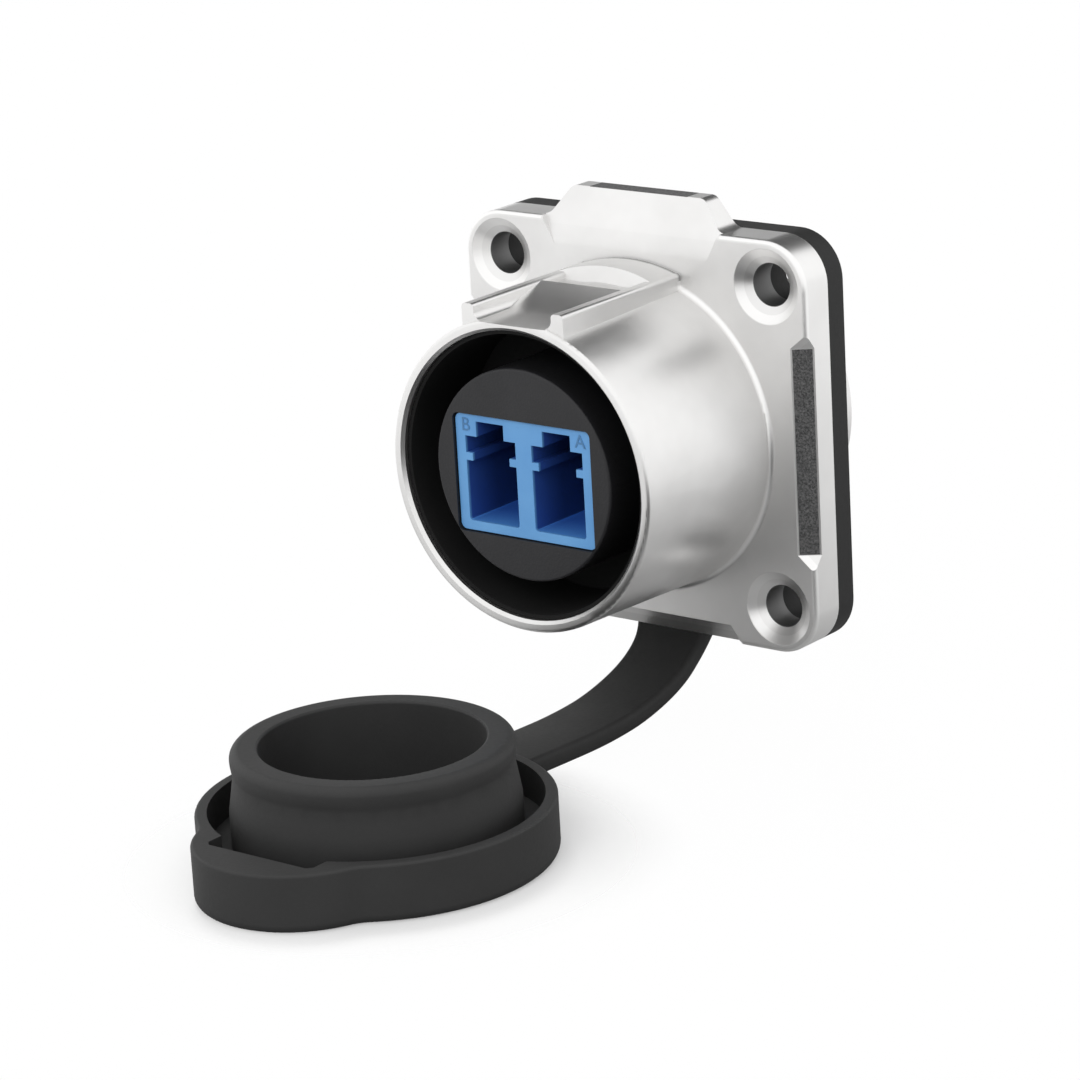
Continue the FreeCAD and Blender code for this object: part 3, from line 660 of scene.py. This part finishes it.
class CONNECTOR_OT_strap(bpy.types.Operator):
    """Build the strap in two halves that meet partway along it"""
    bl_idname = "fibre_connector.strap"
    bl_label = "Build the strap"

    def execute(self, context):
        s = context.scene.fibre_connector.strap
        look = context.scene.fibre_connector.rubber
        pale = scaled(look.strap, look.strap_pale)
        material = moulded_rubber("strap_rubber", look, look.strap, pale, look.roughness, look.shine)
        line = strap_line(STRAP_ROUTE, s.stations)
        meet = min(range(len(line)), key=lambda i: abs(line[i][0].y + s.meeting))
        root, tail = line[:meet + 1], line[meet:]
        widths = []
        for place, _ in root:
            rise = max(0.0, 1.0 - (place - root[0][0]).length / s.flare_length)
            widths.append(1.0 + s.flare * rise * rise)
        upper = strap_half("strap_root", root, widths, s, material)
        lower = strap_half("strap_tail", tail, [1.0] * len(tail), s, material)
        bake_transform(upper)
        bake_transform(lower)
        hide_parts("cap_strap")
        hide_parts("cap_strap")
        return {"FINISHED"}


class CONNECTOR_OT_insert(bpy.types.Operator):
    """Give the insert, the retainer and the spring ring their finishes"""
    bl_idname = "fibre_connector.insert"
    bl_label = "Finish the insert"

    def execute(self, context):
        s = context.scene.fibre_connector.plastic
        shade = scaled(s.insert, s.insert_shade)
        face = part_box("insert_core")[0][1]

        def groove(b, place, mix):
            # Painted shade, darker with depth behind the disc
            deep = b.spread(b.axes(place)[1], face + s.groove_start, face + s.groove_full)
            return b.blend(deep, mix, rgba(s.groove_shade))

        look = s.insert, shade, s.insert_rough, s.insert_grain
        dress(moulded_plastic("insert_plastic", s, *look, groove), "insert_core")
        dress(moulded_plastic("retainer_plastic", s, *look), "rear_retainer")
        dress(spring_steel(s), "retaining_ring")
        return {"FINISHED"}


class CONNECTOR_OT_adapter(bpy.types.Operator):
    """Finish the blue adapter and its sleeves, and raise the port letters"""
    bl_idname = "fibre_connector.adapter"
    bl_label = "Finish the adapter"

    def execute(self, context):
        s = context.scene.fibre_connector
        look = s.plastic
        front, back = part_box("adapter_front"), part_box("adapter_rear")
        face = front[0][1]
        for name, mouth, way in (("adapter_front", face, 1.0), ("adapter_rear", back[1][1], -1.0)):
            blue = moulded_plastic(name + "_blue", look, look.adapter, look.adapter_deep, look.adapter_rough,
                                   look.adapter_grain, self.ports(look, mouth, way))
            dress(blue, name)
        dress(polished_ceramic(look), "split_sleeve_a", "split_sleeve_b")
        tone, shade = scaled(look.adapter, look.letter_shade), scaled(look.adapter_deep, look.letter_shade)
        dark = moulded_plastic("letter_blue", look, tone, shade, look.letter_rough, look.adapter_grain)
        for text, side in (("A", 1.0), ("B", -1.0)):
            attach(self.letter(text, side, face, s.marks, dark), "receptacle")
        return {"FINISHED"}

    def ports(self, s, mouth, way):
        """Painted shade in the ports behind a mouth, deeper along the way in, with each port's floor painted
        lighter.
        """
        def inside(b, place, mix):
            _, y, z = b.axes(place)
            depth = (y - mouth) * way
            # Painted shade darkens with depth; below floor_top the floor is painted lighter than the walls
            deep = b.spread(depth, s.port_lip, s.port_depth)
            walls = b.blend(deep, rgba(s.port), rgba(s.port_shade))
            floor = b.blend(deep, rgba(s.port_sill_lit), rgba(s.port_floor_lit))
            port_light_and_shade = b.blend(z < s.floor_top, walls, floor)
            return b.blend(b.spread(depth, s.port_start, s.port_lip), mix, port_light_and_shade)
        return inside

    def letter(self, text, side, face, s, material):
        """A letter made flat, turned upright on the adapter face and turned into a mesh."""
        font = bpy.data.curves.new("port_letter", "FONT")
        font.body = text
        font.align_x, font.align_y = "CENTER", "CENTER"
        font.size = s.height * s.type_size
        font.extrude = s.relief
        font.resolution_u = 6
        drawn = bpy.data.objects.new("port_letter_draft", font)
        bpy.context.collection.objects.link(drawn)
        bpy.context.view_layer.update()
        graph = bpy.context.evaluated_depsgraph_get()
        mesh = bpy.data.meshes.new_from_object(drawn.evaluated_get(graph))
        bpy.data.objects.remove(drawn)
        bm = bmesh.new()
        bm.from_mesh(mesh)
        bpy.data.meshes.remove(mesh)
        place = Matrix.Translation((side * s.across, face, s.up)) @ Matrix.Rotation(math.pi / 2, 4, "X")
        bmesh.ops.transform(bm, matrix=place, verts=bm.verts)
        return piece_from(bm, "port_letter_" + text.lower(), material)


class CONNECTOR_OT_stage(bpy.types.Operator):
    """Set up the floor, the studio light and the camera"""
    bl_idname = "fibre_connector.stage"
    bl_label = "Set the stage"

    def execute(self, context):
        s = context.scene.fibre_connector.stage
        self.floor(s)
        self.studio(context.scene, s)
        self.lamp("key_lamp", s.key_place, s.key_size, s.key, s.lamp_aim)
        self.lamp("fill_lamp", s.fill_place, s.fill_size, s.fill, s.lamp_aim)
        self.camera(context.scene, s)
        context.scene.view_settings.view_transform = "Standard"
        return {"FINISHED"}

    def floor(self, s):
        bm = bmesh.new()
        bmesh.ops.create_grid(bm, x_segments=4, y_segments=4, size=s.floor_half)
        bmesh.ops.translate(bm, vec=(0.0, 0.0, CAD_BOX[0][2] - s.floor_gap), verts=bm.verts)
        mesh = bpy.data.meshes.new("floor")
        bm.to_mesh(mesh)
        bm.free()
        ground = bpy.data.objects.new("floor", mesh)
        bpy.context.collection.objects.link(ground)
        mesh.materials.append(self.floor_white(s))

    def floor_white(self, s):
        """White floor: the camera sees only the shadow round the cap on it, the plating sees it shaded."""
        material, b = new_board("floor_white")
        straight, mirrored = self.rays(b)
        plain = b.node("ShaderNodeBsdfDiffuse", {}, {"Color": rgba(s.floor_near)})
        pale = b.node("ShaderNodeBsdfDiffuse", {}, {"Color": rgba(s.floor)})
        white = b.node("ShaderNodeEmission", {}, {"Color": WHITE, "Strength": s.lift})
        lifted = b.node("ShaderNodeAddShader", {}, {0: pale, 1: white})
        dark = b.node("ShaderNodeEmission", {}, {"Color": BLACK, "Strength": 0.0})
        far = self.away(b, s.shade_middle, s.shade_in, s.shade_out)
        card = 1.0 - self.away(b, s.card_middle, s.card_in, s.card_out)
        shown = b.mixed(mirrored * card, b.mixed(mirrored * far, plain, lifted), dark)
        veil = b.node("ShaderNodeBsdfTransparent", {}, {"Color": grey(s.lift)})
        shadow = b.node("ShaderNodeAddShader", {}, {0: pale, 1: veil})
        open_air = b.node("ShaderNodeBsdfTransparent", {}, {"Color": WHITE})
        under = 1.0 - self.away(b, s.contact_middle, 0.0, s.contact_edge)
        beyond = self.away(b, s.contact_middle, s.contact_in, s.contact_out)
        seen = b.mixed((under + beyond) * s.clear, shadow, open_air)
        b.node("ShaderNodeOutputMaterial", {}, {"Surface": b.mixed(straight, shown, seen)})
        return material

    def away(self, b, middle, inner, outer):
        """Rises from 0 to 1 between two distances from a middle on the floor."""
        x, y, _ = b.axes(b.place())
        x, y = x - middle[0], y - middle[1]
        return b.gentle((x * x + y * y).math("SQRT"), inner, outer)

    def rays(self, b):
        """Marks of the rays that come straight from the camera and of those that are mirrored."""
        straight = b.node("ShaderNodeLightPath", {}, {}, "Is Camera Ray")
        return straight, Wire(b, straight.socket.node.outputs["Is Glossy Ray"])

    def studio(self, scene, s):
        """Bright walls with one dark wall in the plating, soft light elsewhere, white behind the part."""
        world = bpy.data.worlds.new("studio")
        scene.world = world
        world.use_nodes = True
        b = Board(world.node_tree)
        straight, mirrored = self.rays(b)
        way = b.node("ShaderNodeTexCoord", {}, {}, "Generated")
        dark_way = Vector(s.dark_way).normalized()[:]
        near = b.node("ShaderNodeVectorMath", {"operation": "DOT_PRODUCT"}, {0: way, 1: dark_way}, "Value")
        tent = b.blend(b.gentle(near, s.dark_from, s.dark_full), grey(s.bright), grey(s.dark))
        walls = b.node("ShaderNodeBackground", {}, {"Color": tent, "Strength": 1.0})
        soft = b.node("ShaderNodeBackground", {}, {"Color": WHITE, "Strength": s.soft})
        white = b.node("ShaderNodeBackground", {}, {"Color": WHITE, "Strength": 1.0})
        lit = b.mixed(mirrored, soft, walls)
        mix = b.mixed((straight + mirrored * s.mirrored).limited(), lit, white)
        b.node("ShaderNodeOutputWorld", {}, {"Surface": mix})

    def lamp(self, name, place, size, power, aim):
        light = bpy.data.lights.new(name, "AREA")
        light.shape = "DISK"
        light.size = size
        light.energy = power
        made = bpy.data.objects.new(name, light)
        made.location = place
        way = Vector(aim) - made.location
        made.rotation_euler = way.to_track_quat("-Z", "Y").to_euler()
        made.visible_glossy = False
        bpy.context.collection.objects.link(made)

    def camera(self, scene, s):
        a, e = s.azimuth, s.elevation
        right = Vector((math.cos(a), math.sin(a), 0.0))
        back = Vector((math.sin(a) * math.cos(e), -math.cos(a) * math.cos(e), math.sin(e)))
        up = back.cross(right)
        turn = Matrix((right, up, back)).transposed() @ Matrix.Rotation(s.roll, 3, "Z")
        lens = bpy.data.cameras.new("camera")
        lens.lens = s.lens
        lens.sensor_width = s.sensor
        lens.clip_start = s.nearest
        eye = bpy.data.objects.new("camera", lens)
        eye.matrix_world = Matrix.Translation(Vector(s.aim) + back * s.distance) @ turn.to_4x4()
        bpy.context.collection.objects.link(eye)
        scene.camera = eye


class CONNECTOR_PT_panel(bpy.types.Panel):
    """Sidebar list of the connector's steps"""
    bl_idname = "CONNECTOR_PT_panel"
    bl_label = "Fibre connector"
    bl_space_type = "VIEW_3D"
    bl_region_type = "UI"
    bl_category = "Connector"

    def draw(self, context):
        for step in STEPS:
            self.layout.operator(step.bl_idname)


SETTINGS = (PlatingSettings, RubberSettings, PlasticSettings, StrapSettings, MarkSettings, StageSettings,
            ConnectorSettings)
STEPS = (CONNECTOR_OT_shell, CONNECTOR_OT_rubber, CONNECTOR_OT_strap, CONNECTOR_OT_insert,
         CONNECTOR_OT_adapter, CONNECTOR_OT_stage)


def register():
    for cls in SETTINGS + STEPS + (CONNECTOR_PT_panel,):
        bpy.utils.register_class(cls)
    bpy.types.Scene.fibre_connector = PointerProperty(type=ConnectorSettings)


def unregister():
    del bpy.types.Scene.fibre_connector
    for cls in reversed(SETTINGS + STEPS + (CONNECTOR_PT_panel,)):
        bpy.utils.unregister_class(cls)


def main():
    register()
    bpy.ops.fibre_connector.shell()
    bpy.ops.fibre_connector.rubber()
    bpy.ops.fibre_connector.strap()
    bpy.ops.fibre_connector.insert()
    bpy.ops.fibre_connector.adapter()
    bpy.ops.fibre_connector.stage()


if __name__ == "__main__":
    main()
